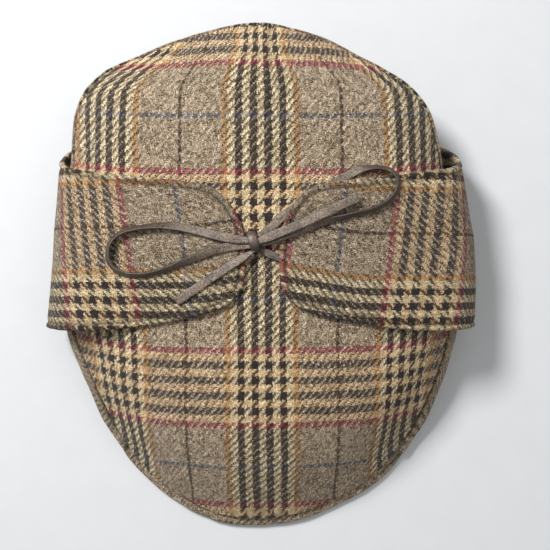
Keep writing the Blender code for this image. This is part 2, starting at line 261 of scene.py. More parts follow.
# The knot leans by so many degrees, bulges across by KNOT_CROWN, is narrower where it turns down by
# KNOT_PINCH, and has shade painted on towards its front, where it turns away from the light.
KNOT_PLACE = (-0.0028, 0.0207, 0.0664)
KNOT_SIZE = (0.0052, 0.0100, 0.0060)
KNOT_LEAN = -16.0
KNOT_CROWN = 0.0006
KNOT_PINCH = 0.14
KNOT_SHADE_FROM = 0.35
KNOT_SHADE_REACH = 1.1
KNOT_RINGS = 56
LEATHER_LIGHT = (148, 130, 113)
LEATHER_DEEP = (56, 45, 37)
LEATHER_DARK = (40, 32, 27)
KNOT_LIGHT = (116, 97, 82)
KNOT_DEEP = (54, 43, 35)
# How much of the light a strand in full shade or on edge loses.
SHADE_DARK = 0.85
# How fine its pebbles, grain and patches are, a metre.
PEBBLE_SCALE = 1100.0
GRAIN_SCALE = 1300.0
PATCH_SCALE = 160.0
# A strand that the CAD stands quite on edge leans back by its own weight.
TURN_SHARE = 0.70
# How far the strands reach into the knot, and how much it gathers them.
INTO_KNOT = 0.0024
GATHER = 0.35
GATHER_LENGTH = 0.0050
TAIL_GATHER = 0.70
# The right root and the right loop's way back lie in the shade of the strands above them.
ROOT_DARK = 0.7
LOOP_SHADED = 0.034
# How far the roots reach into the flaps.
INTO_FLAP = 0.0030

# Its routes, as in the CAD: x, y and z in metres, then its turn in degrees. At 0 it lies flat, at
# 90 it stands on edge with its grain side to the right of its way, at -90 to the left.
LEFT_LOOP = (
    (-0.0062, 0.0216, 0.0679, 0),
    (-0.0130, 0.0223, 0.0679, 0),
    (-0.0213, 0.0239, 0.0673, 5),
    (-0.0315, 0.0266, 0.0666, 18),
    (-0.0416, 0.0284, 0.0665, 45),
    (-0.0523, 0.0289, 0.0661, 75),
    (-0.0624, 0.0278, 0.0648, 90),
    (-0.0705, 0.0256, 0.0634, 90),
    (-0.0756, 0.0215, 0.0624, 90),
    (-0.0777, 0.0155, 0.0616, 90),
    (-0.0772, 0.0108, 0.0616, 90),
    (-0.0746, 0.0076, 0.0620, 90),
    (-0.0700, 0.0050, 0.0628, 90),
    (-0.0614, 0.0038, 0.0642, 90),
    (-0.0498, 0.0060, 0.0659, 85),
    (-0.0416, 0.0091, 0.0666, 70),
    (-0.0315, 0.0131, 0.0670, 50),
    (-0.0213, 0.0170, 0.0669, 25),
    (-0.0130, 0.0186, 0.0664, 0),
    (-0.0062, 0.0188, 0.0664, 0),
)
RIGHT_LOOP = (
    (0.0004, 0.0240, 0.0644, 0),
    (0.0055, 0.0276, 0.0636, 0),
    (0.0126, 0.0344, 0.0628, 0),
    (0.0208, 0.0400, 0.0625, 0),
    (0.0314, 0.0465, 0.0619, 0),
    (0.0411, 0.0526, 0.0614, 0),
    (0.0450, 0.0549, 0.0610, 0),
    (0.0486, 0.0568, 0.0610, -12),
    (0.0525, 0.0582, 0.0616, -50),
    (0.0570, 0.0590, 0.0615, -82),
    (0.0610, 0.0592, 0.0611, -90),
    (0.0650, 0.0585, 0.0612, -90),
    (0.0690, 0.0563, 0.0622, -90),
    (0.0710, 0.0525, 0.0627, -90),
    (0.0709, 0.0485, 0.0626, -90),
    (0.0693, 0.0453, 0.0629, -90),
    (0.0654, 0.0413, 0.0638, -90),
    (0.0588, 0.0376, 0.0650, -90),
    (0.0492, 0.0350, 0.0663, -90),
    (0.0416, 0.0331, 0.0670, -85),
    (0.0350, 0.0315, 0.0674, -65),
    (0.0294, 0.0300, 0.0675, -40),
    (0.0220, 0.0275, 0.0676, -15),
    (0.0130, 0.0240, 0.0676, 0),
    (0.0060, 0.0216, 0.0669, 0),
    (0.0003, 0.0200, 0.0662, 0),
)
LEFT_TAIL = (
    (-0.0040, 0.0152, 0.0675, 40),
    (-0.0085, 0.0126, 0.0675, 28),
    (-0.0130, 0.0098, 0.0668, 15),
    (-0.0190, 0.0060, 0.0663, 5),
    (-0.0245, 0.0024, 0.0660, 0),
    (-0.0330, -0.0034, 0.0654, 0),
    (-0.0422, -0.0098, 0.0643, 0),
)
RIGHT_TAIL = (
    (0.0002, 0.0212, 0.0678, 0),
    (0.0070, 0.0240, 0.0687, 0),
    (0.0150, 0.0272, 0.0698, 0),
    (0.0250, 0.0315, 0.0706, 0),
    (0.0340, 0.0357, 0.0704, 0),
    (0.0420, 0.0396, 0.0694, 0),
    (0.0503, 0.0434, 0.0680, 0),
)
LEFT_ROOT = (
    (-0.0062, 0.0134, 0.0639, 0),
    (-0.0044, 0.0141, 0.0636, 0),
    (-0.0026, 0.0148, 0.0633, 0),
)
RIGHT_ROOT = (
    (0.0093, 0.0130, 0.0639, 0),
    (0.0060, 0.0144, 0.0637, 0),
    (0.0025, 0.0160, 0.0634, 0),
    (-0.0008, 0.0176, 0.0632, 0),
)

FLOOR = (206, 208, 210)
FLOOR_GAP = 0.0004
KEY_LIGHT = {"place": (-0.55, 0.60, 1.00), "size": 0.36, "power": 19.5}
FILL_LIGHT = {"place": (0.40, 0.30, 1.40), "size": 1.60, "power": 4.0}
WORLD_LIGHT = 0.36


def ease(x):
    x = np.clip(x, 0, 1)
    return x * x * (3 - 2 * x)


def linear(colour):
    """A colour of 0 to 255, as the eye sees it, in the renderer's linear values."""
    share = np.array(colour) / 255
    return (*np.where(share < 0.04045, share / 12.92, ((share + 0.055) / 1.055) ** 2.4), 1.0)


class Nodes:
    """A material's node tree, with a short call for each kind of node that is used here."""

    def __init__(self, name):
        self.material = bpy.data.materials.new(name)
        self.material.use_nodes = True
        self.tree = self.material.node_tree
        self.surface = self.tree.nodes["Principled BSDF"]

    def add(self, kind, **settings):
        node = self.tree.nodes.new("ShaderNode" + kind)
        for key, value in settings.items():
            setattr(node, key, value)
        return node

    def set(self, socket, value):
        if isinstance(value, bpy.types.NodeSocket):
            self.tree.links.new(value, socket)
        else:
            socket.default_value = value

    def math(self, operation, *values):
        node = self.add("Math", operation=operation)
        for socket, value in zip(node.inputs, values):
            self.set(socket, value)
        return node.outputs[0]

    def choose(self, share, off, on):
        """The number off where share is 0 and on where it is 1."""
        node = self.add("Mix", data_type="FLOAT")
        for index, value in ((0, share), (2, off), (3, on)):
            self.set(node.inputs[index], value)
        return node.outputs[0]

    def mix_colours(self, share, first, second, blend="MIX"):
        node = self.add("Mix", data_type="RGBA", blend_type=blend)
        colour_a, colour_b = [s for s in node.inputs if s.type == "RGBA"]
        self.set([s for s in node.inputs if s.type == "VALUE"][0], share)
        self.set(colour_a, first)
        self.set(colour_b, second)
        return [s for s in node.outputs if s.type == "RGBA"][0]

    def bands(self, share, stops):
        """Flat bands: the colour, and 1 for a dyed yarn or 0 for the ground.

        Each stop is where its band starts, in shares of the whole, its colour and that number.
        """
        ramp = self.add("ValToRGB")
        ramp.color_ramp.interpolation = "CONSTANT"
        elements = ramp.color_ramp.elements
        while len(elements) < len(stops):
            elements.new(0.5)
        for element, (place, colour, dyed) in zip(elements, stops):
            element.position = place
            element.color = (*linear(colour)[:3], dyed)
        self.set(ramp.inputs[0], share)
        return ramp.outputs["Color"], ramp.outputs["Alpha"]

    def noise_node(self, where, scale, detail):
        node = self.add("TexNoise")
        self.set(node.inputs["Vector"], where)
        node.inputs["Scale"].default_value = scale
        node.inputs["Detail"].default_value = detail
        return node

    def noise(self, where, scale, detail=2.0):
        return self.noise_node(where, scale, detail).outputs[0]

    def noise_colour(self, where, scale, detail=2.0):
        return self.noise_node(where, scale, detail).outputs["Color"]

    def parts(self, vector):
        node = self.add("SeparateXYZ")
        self.set(node.inputs[0], vector)
        return node.outputs

    def sum(self, first, *others):
        for other in others:
            first = self.math("ADD", first, other)
        return first

    def cycle(self, value, length):
        """How far the value is through its repeat of this length, 0 to 1."""
        return self.math("FRACT", self.math("DIVIDE", value, length))

    def spread(self, share, width):
        """A share of 0 to 1 as a number that swings over the width, about 0."""
        return self.math("MULTIPLY", self.math("SUBTRACT", share, 0.5), width)

    def hump(self, share, power):
        """1 at a share of one half, falling to 0 at 0 and at 1."""
        from_middle = self.math("ABSOLUTE", self.spread(share, 2.0))
        return self.math("SUBTRACT", 1.0, self.math("POWER", from_middle, power))

    def bump(self, height, distance, strength=1.0):
        node = self.add("Bump")
        self.set(node.inputs["Height"], height)
        node.inputs["Distance"].default_value = distance
        node.inputs["Strength"].default_value = strength
        self.set(self.surface.inputs["Normal"], node.outputs["Normal"])


def stripes(repeat, ground, light, dark, line, thin):
    """The bands of one repeat of yarns, from the group's first edge line on."""
    stops = [(0, line)]
    start = EDGE
    for band in range(GROUP // BAND):
        stops.append((start, light if band % 2 == 0 else dark))
        start += BAND
    stops.append((start, line))
    stops.append((start + EDGE, ground))
    middle = (start + EDGE + repeat) / 2
    stops.append((middle - FINE_LINE / 2, thin))
    stops.append((middle + FINE_LINE / 2, ground))
    return [(place / repeat, colour, float(colour != ground)) for place, colour in stops]


def tweed(name, shade=1.0):
    """Twill of two over, two under, each float of yarn in its own shade.

    It reads two attributes of the mesh: threads, with the warp's number, the weft's number and how
    far the check gives way to plain, and the shade painted along rims, in grooves and in the dart's
    crease, which is taken from the shade.
    """
    n = Nodes(name)
    place = n.add("TexCoord").outputs["Object"]
    threads = n.parts(n.add("Attribute", attribute_name="threads").outputs["Vector"])
    wobble = n.parts(n.noise_colour(place, WOBBLE_SCALE, 1.0))
    fray = n.parts(n.noise_colour(place, FRAY_SCALE))
    across, along = (
        n.sum(threads[k], n.spread(wobble[k], WOBBLE), n.spread(fray[k], FRAY)) for k in (0, 1)
    )
    warp = n.math("FLOOR", across)
    weft = n.math("FLOOR", along)
    warp_share = n.cycle(n.sum(across, GROUP / 2 + EDGE), WARP_REPEAT)
    weft_share = n.cycle(n.sum(along, EDGE / 2), WEFT_REPEAT)
    warp_colour, warp_dyed = n.bands(
        warp_share, stripes(WARP_REPEAT, WARP_GROUND, CREAM, WARP_DARK, MUSTARD, BROWN))
    weft_colour, weft_dyed = n.bands(
        weft_share, stripes(WEFT_REPEAT, WEFT_GROUND, PEACH, WEFT_DARK, MAROON, BLUE))
    warp_colour = n.mix_colours(threads[2], warp_colour, linear(WARP_GROUND))
    weft_colour = n.mix_colours(threads[2], weft_colour, linear(WEFT_GROUND))

    # Each float covers two crossings: its own number, and how far along it a place is.
    warp_run = n.math("DIVIDE", n.sum(n.math("SUBTRACT", warp, along), WARP_FIRST), TWILL)
    weft_run = n.math("DIVIDE", n.sum(n.math("SUBTRACT", across, weft), WEFT_FIRST), TWILL)
    bolder = n.math("SUBTRACT", warp_dyed, weft_dyed)
    seen = n.sum(WARP_SEEN, n.math("MULTIPLY", bolder, DYED_SEEN))
    on_top = n.math("LESS_THAN", n.math("FRACT", warp_run), seen)
    colour = n.mix_colours(n.choose(on_top, HAZE, 1.0 - HAZE), weft_colour, warp_colour)
    dyed = n.choose(on_top, weft_dyed, warp_dyed)
    float_id = n.add("CombineXYZ")
    n.set(float_id.inputs[0], n.choose(on_top, n.math("FLOOR", weft_run), warp))
    n.set(float_id.inputs[1], n.choose(on_top, weft, n.math("FLOOR", warp_run)))
    n.set(float_id.inputs[2], on_top)
    speck = n.add("TexWhiteNoise", noise_dimensions="3D")
    n.set(speck.inputs["Vector"], float_id.outputs[0])
    fleck = n.parts(speck.outputs["Color"])
    fibre = n.noise(place, FIBRE_SCALE)
    cloud = n.noise(place, CLOUD_SCALE)

    side = n.choose(on_top, n.math("FRACT", along), n.math("FRACT", across))
    run = n.math("DIVIDE", n.math("FRACT", n.choose(on_top, weft_run, warp_run)), WARP_SEEN)
    bulge = n.math("MULTIPLY", n.hump(side, 2.0), n.hump(run, 4.0))
    mottle = n.sum(n.spread(speck.outputs["Value"], SPECKLE), n.spread(fibre, FIBRE))
    mottle = n.math("MULTIPLY", mottle, n.choose(dyed, 1.0, DYED_MOTTLE))
    level = n.sum(1.0, mottle, n.spread(cloud, CLOUD))
    # Painted shade: the shade painted along rims, in grooves and in the dart's crease is taken off,
    # and each float is painted darker at its ends and sides, where it dips under its neighbours.
    tone_less_painted_shade = n.math("SUBTRACT", shade, n.add("Attribute", attribute_name="painted_shade").outputs["Fac"])
    relief = n.math("MULTIPLY", tone_less_painted_shade, n.sum(FLOAT_LOW, n.math("MULTIPLY", bulge, FLOAT_RISE)))
    gain = n.math("MAXIMUM", n.math("MULTIPLY", level, relief), DARKEST)
    cold = n.sum(n.math("SUBTRACT", level, 0.5), n.spread(fleck[1], 0.5))
    tinted = n.mix_colours(cold, n.mix_colours(1.0, colour, WARM, "MULTIPLY"),
                           n.mix_colours(1.0, colour, COOL, "MULTIPLY"))
    shaded = n.add("VectorMath", operation="SCALE")
    n.set(shaded.inputs[0], tinted)
    n.set(shaded.inputs["Scale"], gain)
    n.set(n.surface.inputs["Base Color"], shaded.outputs[0])
    n.surface.inputs["Roughness"].default_value = 0.95
    n.surface.inputs["Specular IOR Level"].default_value = 0.15
    n.surface.inputs["Sheen Weight"].default_value = 0.10
    n.surface.inputs["Sheen Roughness"].default_value = 0.5
    n.bump(n.sum(bulge, n.math("MULTIPLY", fibre, FIBRE_RELIEF)), THREAD_RELIEF, 0.9)
    return n.material


def leather(name, light, deep, roughness, relief, contrast):
    """Pebbled leather, by the strap attribute dark on its back and its edges, with shade painted in
    where it stands on edge, lies under other strands or turns away from the light.
    """
    n = Nodes(name)
    place = n.add("TexCoord").outputs["Object"]
    strap = n.parts(n.add("Attribute", attribute_name="strap").outputs["Vector"])
    pebble = n.add("TexVoronoi", feature="DISTANCE_TO_EDGE")
    n.set(pebble.inputs["Vector"], place)
    pebble.inputs["Scale"].default_value = PEBBLE_SCALE
    raised = n.math("MINIMUM", n.math("MULTIPLY", pebble.outputs["Distance"], 4.0), 1.0)
    grain = n.noise(place, GRAIN_SCALE, 3.0)
    patch = n.noise(place, PATCH_SCALE)
    pitted = n.sum(n.spread(raised, 0.4 * contrast), n.spread(grain, 2.4 * contrast))
    level = n.sum(0.42, pitted, n.spread(patch, 0.9))
    level = n.math("MINIMUM", n.math("MAXIMUM", level, 0.0), 1.0)
    colour = n.mix_colours(level, linear(deep), linear(light))
    face = n.add("MapRange", interpolation_type="SMOOTHSTEP")
    n.set(face.inputs["Value"], strap[1])
    face.inputs["From Min"].default_value = -0.3
    face.inputs["From Max"].default_value = 0.75
    lit = n.math("SUBTRACT", 1.0, n.math("MULTIPLY", strap[2], SHADE_DARK))
    lit_grain_side = n.math("MULTIPLY", face.outputs["Result"], lit)
    n.set(n.surface.inputs["Base Color"], n.mix_colours(lit_grain_side, linear(LEATHER_DARK), colour))
    n.surface.inputs["Roughness"].default_value = roughness
    n.surface.inputs["Specular IOR Level"].default_value = 0.55
    n.bump(n.sum(raised, n.math("MULTIPLY", grain, 0.8)), relief, 0.8)
    return n.material


def plain(name, colour, roughness):
    """One colour, in faintly uneven patches."""
    n = Nodes(name)
    place = n.add("TexCoord").outputs["Object"]
    level = n.noise(place, 60.0, 3.0)
    low = linear([0.97 * c for c in colour])
    n.set(n.surface.inputs["Base Color"], n.mix_colours(level, low, linear(colour)))
    n.surface.inputs["Roughness"].default_value = roughness
    return n.material


def new_piece(name, data, finish):
    piece = bpy.data.objects.new(name, data)
    bpy.context.scene.collection.objects.link(piece)
    data.materials.clear()
    data.materials.append(finish)
    return piece


def quad_mesh(node):
    """A node's mesh with its triangles joined back to four-sided faces, and points along its rim.

    The rim's edges are creased, so that they stay crisp when the mesh is made smooth.
    """
    mesh = bmesh.new()
    mesh.from_mesh(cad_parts[node].data)
    bmesh.ops.remove_doubles(mesh, verts=mesh.verts, dist=1e-6)
    bmesh.ops.join_triangles(mesh, faces=mesh.faces[:], angle_face_threshold=math.radians(FLAT),
                             angle_shape_threshold=math.pi)
    crease = mesh.edges.layers.float.new("crease_edge")
    rim = []
    for edge in mesh.edges:
        if len(edge.link_faces) == 2 and edge.calc_face_angle() > math.radians(SHARP):
            edge[crease] = CREASE
            start, end = (Vector(v.co) for v in edge.verts)
            steps = max(1, round((end - start).length / RIM_STEP))
            rim += [start.lerp(end, i / steps) for i in range(steps + 1)]
    return mesh, rim


def fine_mesh(name, mesh, levels):
    """The mesh subdivided smooth, as a mesh of its own."""
    rough = bpy.data.meshes.new(name + "_rough")
    mesh.to_mesh(rough)
    mesh.free()
    holder = bpy.data.objects.new(name, rough)
    bpy.context.scene.collection.objects.link(holder)
    smooth = holder.modifiers.new("Fine", "SUBSURF")
    smooth.levels = levels
    smooth.render_levels = levels
    seen = holder.evaluated_get(bpy.context.evaluated_depsgraph_get())
    fine = bpy.data.meshes.new_from_object(seen)
    bpy.data.objects.remove(holder, do_unlink=True)
    fine.name = name
    return fine


def coordinates(mesh):
    places = np.empty(3 * len(mesh.vertices))
    mesh.vertices.foreach_get("co", places)
    normals = np.empty(3 * len(mesh.vertices))
    mesh.vertex_normals.foreach_get("vector", normals)
    return places.reshape(-1, 3), normals.reshape(-1, 3)


def from_rim(places, rim):
    """Distance of each place from the panel's turned edge."""
    tree = kdtree.KDTree(len(rim))
    for index, point in enumerate(rim):
        tree.insert(point, index)
    tree.balance()
    return np.array([tree.find(Vector(place))[2] for place in places])


def soft_noise(places, size, seed):
    """Smooth noise at the places, about 0, its bumps about the size apart."""
    offset = Vector((7.3 * seed, 3.1 * seed, 1.7 * seed))
    return np.array([noise.noise(Vector(place) / size + offset) for place in places])


def unevenness(places):
    """Broad, low waves of the cloth, the same for all the panels, so that they stay as they lie."""
    calm = np.exp(-(((places[:, 1] - CALM_PLACE) / CALM_REACH) ** 2))
    calm *= ease((places[:, 2] - CALM_FROM) / CALM_RISE)
    waves = sum(high * soft_noise(places, size, seed) for seed, (high, size) in enumerate(WAVES, 1))
    return waves * (1 - CALM * calm)


def height_map(node):
    """Heights of the node's upper side over a grid; xs and ys run evenly out from 0 both ways."""
    tree = BVHTree.FromObject(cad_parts[node], bpy.context.evaluated_depsgraph_get())
    xs = np.arange(0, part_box(node)[1][0] + 0.02, GRID_STEP)
    xs = np.concatenate([-xs[:0:-1], xs])
    ys = np.arange(0, GRID_REACH, GRID_STEP)
    ys = np.concatenate([-ys[:0:-1], ys])
    heights = np.full((len(xs), len(ys)), np.nan)
    for i, x in enumerate(xs):
        for j, y in enumerate(ys):
            hit = tree.ray_cast(Vector((x, y, 0.1)), Vector((0, 0, -1)))[0]
            if hit is not None:
                heights[i, j] = hit.z
    return xs, ys, heights


def arc_length(steps, heights, axis, start):
    """Summed lengths of the steps over the heights along the axis, from start out both ways."""
    rises = np.diff(heights, axis=axis)
    rises[np.isnan(rises)] = 0
    step = steps[1] - steps[0]
    lengths = np.cumsum(np.hypot(step, rises), axis=axis)
    shape = list(heights.shape)
    shape[axis] = 1
    lengths = np.concatenate([np.zeros(shape), lengths], axis=axis)
    at = int(np.argmin(np.abs(steps - start)))
    return lengths - np.take(lengths, [at], axis=axis) + steps[at]


def looked_up(xs, ys, table, places):
    """Values of a table over xs and ys at the places, straight between its entries."""
    step = xs[1] - xs[0]
    i = np.clip((places[:, 0] - xs[0]) / step, 0, len(xs) - 1.001)
    j = np.clip((places[:, 1] - ys[0]) / step, 0, len(ys) - 1.001)
    i0, j0 = i.astype(int), j.astype(int)
    fi, fj = i - i0, j - j0
    return ((table[i0, j0] * (1 - fi) + table[i0 + 1, j0] * fi) * (1 - fj)
            + (table[i0, j0 + 1] * (1 - fi) + table[i0 + 1, j0 + 1] * fi) * fj)


def crown_threads(places):
    """Thread numbers on the crown's top."""
    xs, ys, heights = height_map("top_panel")
    mirrored = heights[::-1]
    even = (heights + mirrored) / 2
    even = np.where(np.isnan(mirrored), heights, even)
    even = np.where(np.isnan(heights), mirrored, even)
    across = looked_up(xs, ys, arc_length(xs, even, 0, 0.0), places)
    across *= 1 + FULLNESS * np.exp(-(((places[:, 1] - FULL_PLACE) / FULL_REACH) ** 2))
    numbers, middle = np.array(WEFT_PLACES).T
    lengths = arc_length(ys, even, 1, WEFT_START)
    middle_lengths = looked_up(xs, ys, lengths, np.array([(0.0, y, 0.0) for y in middle]))
    bow = WEFT_BOW * (places[:, 0] / BOW_REACH) ** 4
    from_above = np.interp(places[:, 1] - bow, middle, numbers)
    over_cloth = np.interp(looked_up(xs, ys, lengths, places) - bow, middle_lengths, numbers)
    back = ease((places[:, 1] - BACK_SLOPE[0]) / (BACK_SLOPE[1] - BACK_SLOPE[0]))
    weft = from_above * (1 - back) + over_cloth * back
    pleat = 1 - BACK_PLEAT * ease((places[:, 1] - BACK_PLEAT_START) / BACK_PLEAT_LENGTH)
    warp = (across - WARP_MIDDLE - WARP_LEAN * places[:, 1]) / (WARP_PITCH * pleat)
    return np.stack([warp, weft, np.zeros(len(places))], 1)


def side_threads(places):
    """Thread numbers on the band round the crown's side."""
    away = places[:, :2] - HEAD[:2]
    radius = np.hypot(*away.T)
    angle = np.degrees(np.arctan2(away[:, 0], away[:, 1]))
    bins = np.linspace(-180, 180, SIDE_PARTS + 1)
    which = np.clip(np.digitize(angle, bins) - 1, 0, SIDE_PARTS - 1)
    outer = np.array([radius[which == k].max() if (which == k).any() else 0
                      for k in range(SIDE_PARTS)])
    middles = (bins[1:] + bins[:-1]) / 2
    known = outer > 0
    full = np.interp(middles, middles[known], outer[known])
    lengths = np.concatenate([[0], np.cumsum(full * math.radians(360 / SIDE_PARTS))])
    around = np.interp(angle, bins, lengths) - np.interp(0, bins, lengths)
    inward = np.interp(angle, middles, full) - radius
    above = places[:, 2] - SIDE_WIDEST
    down = np.where(above > 0, -above - SIDE_TURNED_TOP * inward, -above + SIDE_TURNED_LOW * inward)
    plain = ease((PLAIN_FROM - places[:, 1]) / (PLAIN_FROM - PLAIN_TO))
    return np.stack([around / PITCH, down / PITCH + SIDE_FIRST, plain], 1)


def peak_threads(places):
    """Thread numbers on the peak, whose edge shows no check."""
    return np.stack([places[:, 0] / PITCH, places[:, 1] / PITCH, np.ones(len(places))], 1)


def flap_threads(node, side, mustard_y, tip_rise, tip_reach, reds, slant, warp):
    """Thread numbers on a flap: its warp runs from the tip round the crown's side."""
    tree = BVHTree.FromObject(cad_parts[node], bpy.context.evaluated_depsgraph_get())
    low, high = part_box(node)
    middle = (low[1] + high[1]) / 2
    centre = np.array(FLAP_AXIS)
    turns, radii = [], []
    for turn in np.radians(np.arange(*FLAP_TURNS)):
        way = Vector((side * math.sin(turn), 0, math.cos(turn)))
        start = Vector((side * centre[0], middle, centre[1]))
        hit = tree.ray_cast(start + way * RAY_LENGTH, -way, RAY_LENGTH)[0]
        if hit is not None:
            turns.append(turn)
            radii.append((hit - start).length)
    turns, radii = np.array(turns), np.array(radii)
    steps = np.hypot(np.diff(radii), np.diff(turns) * (radii[1:] + radii[:-1]) / 2)
    lengths = np.concatenate([[0], np.cumsum(steps)])
    tip = min(side * low[0], side * high[0])
    near = turns < 0
    lengths -= np.interp(tip - centre[0], (radii * np.sin(turns))[near], lengths[near])
    weft_lengths = (reds[0] - BEYOND_FLAP, *reds, reds[2] + BEYOND_FLAP)
    more = BEYOND_FLAP / PITCH
    weft_numbers = (RED_THREADS[0] - more, *RED_THREADS, RED_THREADS[2] + more)

    def threads(places):
        out = side * places[:, 0] - centre[0]
        up = places[:, 2] - centre[1]
        along = np.interp(np.arctan2(out, up), turns, lengths)
        reach = side * places[:, 0]
        line = mustard_y + tip_rise * (1 - ease(reach / tip_reach))
        i = GROUP / 2 + EDGE / 2 + (places[:, 1] - line) / warp
        j = np.interp(along - slant * (places[:, 1] - HEAD[1]), weft_lengths, weft_numbers)
        return np.stack([-side * i, j, np.zeros(len(places))], 1)

    return threads


def swollen(places):
    """The crown set out sideways towards the front, where its cloth is filled out."""
    share = SWELL_SIDES * ease(-places[:, 1] / SWELL_SIDES_LENGTH)
    share += SWELL_FRONT * ease((SWELL_FROM - places[:, 1]) / SWELL_LENGTH)
    places = places.copy()
    places[:, 0] *= 1 + share
    return places


def tapered(places):
    """The band's front ends drawn in, so that they run out against the crown."""
    lowest = places[:, 1].min()
    share = ease((lowest + TAPER_LENGTH - places[:, 1]) / TAPER_LENGTH)
    away = places[:, :2] - HEAD[:2]
    away /= np.hypot(*away.T)[:, None]
    places = places.copy()
    places[:, :2] -= away * (TAPER_IN * share)[:, None]
    return places


def filled(places):
    """The right flap's side stands out a little round its middle."""
    bulge = np.exp(-(((places[:, 1] - FILL_PLACE) / FILL_REACH) ** 2))
    bulge *= ease((places[:, 0] - FILL_FROM) / FILL_EDGE)
    places = places.copy()
    places[:, 0] += FILL * bulge
    return places


def dart_share(places):
    """1 in the dart at the crown's back, beside its middle line, and 0 away from it."""
    along = ease((places[:, 1] - DART_FROM) / DART_START)
    return np.exp(-(((places[:, 0] - DART_PLACE) / DART_WIDTH) ** 2)) * along


def darted(places):
    """The crown's back taken in by the dart."""
    dip = DART_DEPTH * dart_share(places)
    away = places - HEAD
    return places - away / np.linalg.norm(away, axis=1)[:, None] * dip[:, None]


def cloth_piece(node, levels, threads, finish, groove=0.0, shape=None, creased=None):
    """The soft piece that stands for a panel's solid.

    Also given back, for each of its corners: the distance from the panel's rim, and whether it is
    on the outer side. Panels with a groove are the flaps; the others are swollen with the crown.
    """
    rough, rim = quad_mesh(node)
    mesh = fine_mesh(node + "_cloth", rough, levels)
    places, normals = coordinates(mesh)
    away = from_rim(places, rim)
    if groove == 0:
        places = swollen(places)
    attribute = mesh.attributes.new("threads", "FLOAT_VECTOR", "POINT")
    attribute.data.foreach_set("vector", threads(places).astype(np.float32).ravel())
    outward = ((places - HEAD) * normals).sum(1) > 0
    # Painted shade: the cloth is painted darker along its rims, in the flaps' stitched groove and
    # in the dart's crease, where shade falls.
    painted_shade = EDGE_SHADE * np.exp(-((away / SHADE_WIDTH) ** 2))
    painted_shade += GROOVE_SHADE * np.exp(-(((away - GROOVE_IN) / SHADE_WIDTH) ** 2)) * (groove > 0)
    if creased is not None:
        painted_shade += DART_SHADE * creased(places)
    attribute = mesh.attributes.new("painted_shade", "FLOAT", "POINT")
    attribute.data.foreach_set("value", painted_shade.astype(np.float32))
    lift = unevenness(places)
    pucker = soft_noise(places, PUCKER_SIZE, 3) * PUCKER * np.exp(-away / PUCKER_SIZE)
    dip = -groove * np.exp(-(((away - GROOVE_IN) / GROOVE_WIDTH) ** 2))
    roll = ROLL * np.exp(-((away / GROOVE_WIDTH - 1.2) ** 2)) * (groove > 0)
    sign = np.where(outward, 1.0, -1.0)
    places += normals * (lift * sign + (pucker + dip + roll) * outward)[:, None]
    if shape is not None:
        places = shape(places)
    places[:, 2] = np.maximum(places[:, 2], 0)
    mesh.vertices.foreach_set("co", places.ravel())
    mesh.update()
    mesh.shade_smooth()
    piece = new_piece(node + "_cloth", mesh, finish)
    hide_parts(node)
    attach(piece, "root")
    return piece, away, outward


def level_lines(mesh, values, level, wanted):
    """Runs of points along which the values at the mesh's corners pass the level."""
    points, beside = {}, {}
    for face in mesh.polygons:
        if not all(wanted[v] for v in face.vertices):
            continue
        crossed = []
        for a, b in face.edge_keys:
            if (values[a] - level) * (values[b] - level) < 0:
                share = (level - values[a]) / (values[b] - values[a])
                points[(a, b)] = mesh.vertices[a].co.lerp(mesh.vertices[b].co, share)
                crossed.append((a, b))
        if len(crossed) == 2:
            beside.setdefault(crossed[0], []).append(crossed[1])
            beside.setdefault(crossed[1], []).append(crossed[0])
    runs, seen = [], set()
    for start in sorted(beside, key=lambda key: (len(beside[key]), key)):
        if start in seen:
            continue
        run, here = [], start
        while here is not None:
            seen.add(here)
            run.append(points[here])
            here = next((key for key in beside[here] if key not in seen), None)
        runs.append(run)
    return runs


def stitch_piece(name, runs, finish):
    """One sunk stitch after another along the runs, as a piece of its own."""
    mesh = bmesh.new()
    for run in runs:
        spots = np.array(run)
        steps = np.linalg.norm(np.diff(spots, axis=0), axis=1)
        lengths = np.concatenate([[0], np.cumsum(steps)])
        for begin in np.arange(0, lengths[-1] - STITCH, STITCH + STITCH_GAP):
            at = begin + STITCH * np.linspace(0, 1, 5)
            line = np.stack([np.interp(at, lengths, spots[:, k]) for k in range(3)], 1)
            way = line[-1] - line[0]
            way /= np.linalg.norm(way) + 1e-9
            side = np.cross(way, line[2] - HEAD)
            side /= np.linalg.norm(side) + 1e-9
            up = np.cross(side, way)
            turns = [side * math.cos(t) + up * math.sin(t) for t in np.arange(6) * math.pi / 3]
            rings = []
            for spot, thick, high in zip(line, STITCH_SWELL, STITCH_RISE):
                middle = spot + up * high * STITCH_THICK
                half = thick * STITCH_THICK / 2
                rings.append([mesh.verts.new(middle + turn * half) for turn in turns])
            for first, second in zip(rings, rings[1:]):
                for i in range(6):
                    j = (i + 1) % 6
                    mesh.faces.new((first[i], first[j], second[j], second[i]))
            mesh.faces.new(rings[0][::-1])
            mesh.faces.new(rings[-1])
    bmesh.ops.recalc_face_normals(mesh, faces=mesh.faces)
    data = bpy.data.meshes.new(name)
    mesh.to_mesh(data)
    mesh.free()
    data.shade_smooth()
    piece = new_piece(name, data, finish)
    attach(piece, "root")


def smooth_route(points, step):
    """Places and turns along a smooth curve through the route's points."""
    points = np.array(points, float)
    knots = np.concatenate([[0], np.cumsum(np.linalg.norm(np.diff(points[:, :3], axis=0), axis=1))])
    slopes = np.gradient(points, knots, axis=0)
    at = np.linspace(0, knots[-1], round(knots[-1] / step) + 1)
    i = np.clip(np.searchsorted(knots, at, side="right") - 1, 0, len(knots) - 2)
    width = (knots[i + 1] - knots[i])[:, None]
    t = ((at - knots[i]) / width[:, 0])[:, None]
    return (points[i] * (1 + 2 * t) * (1 - t) ** 2 + slopes[i] * width * t * (1 - t) ** 2
            + points[i + 1] * t * t * (3 - 2 * t) - slopes[i + 1] * width * t * t * (1 - t))


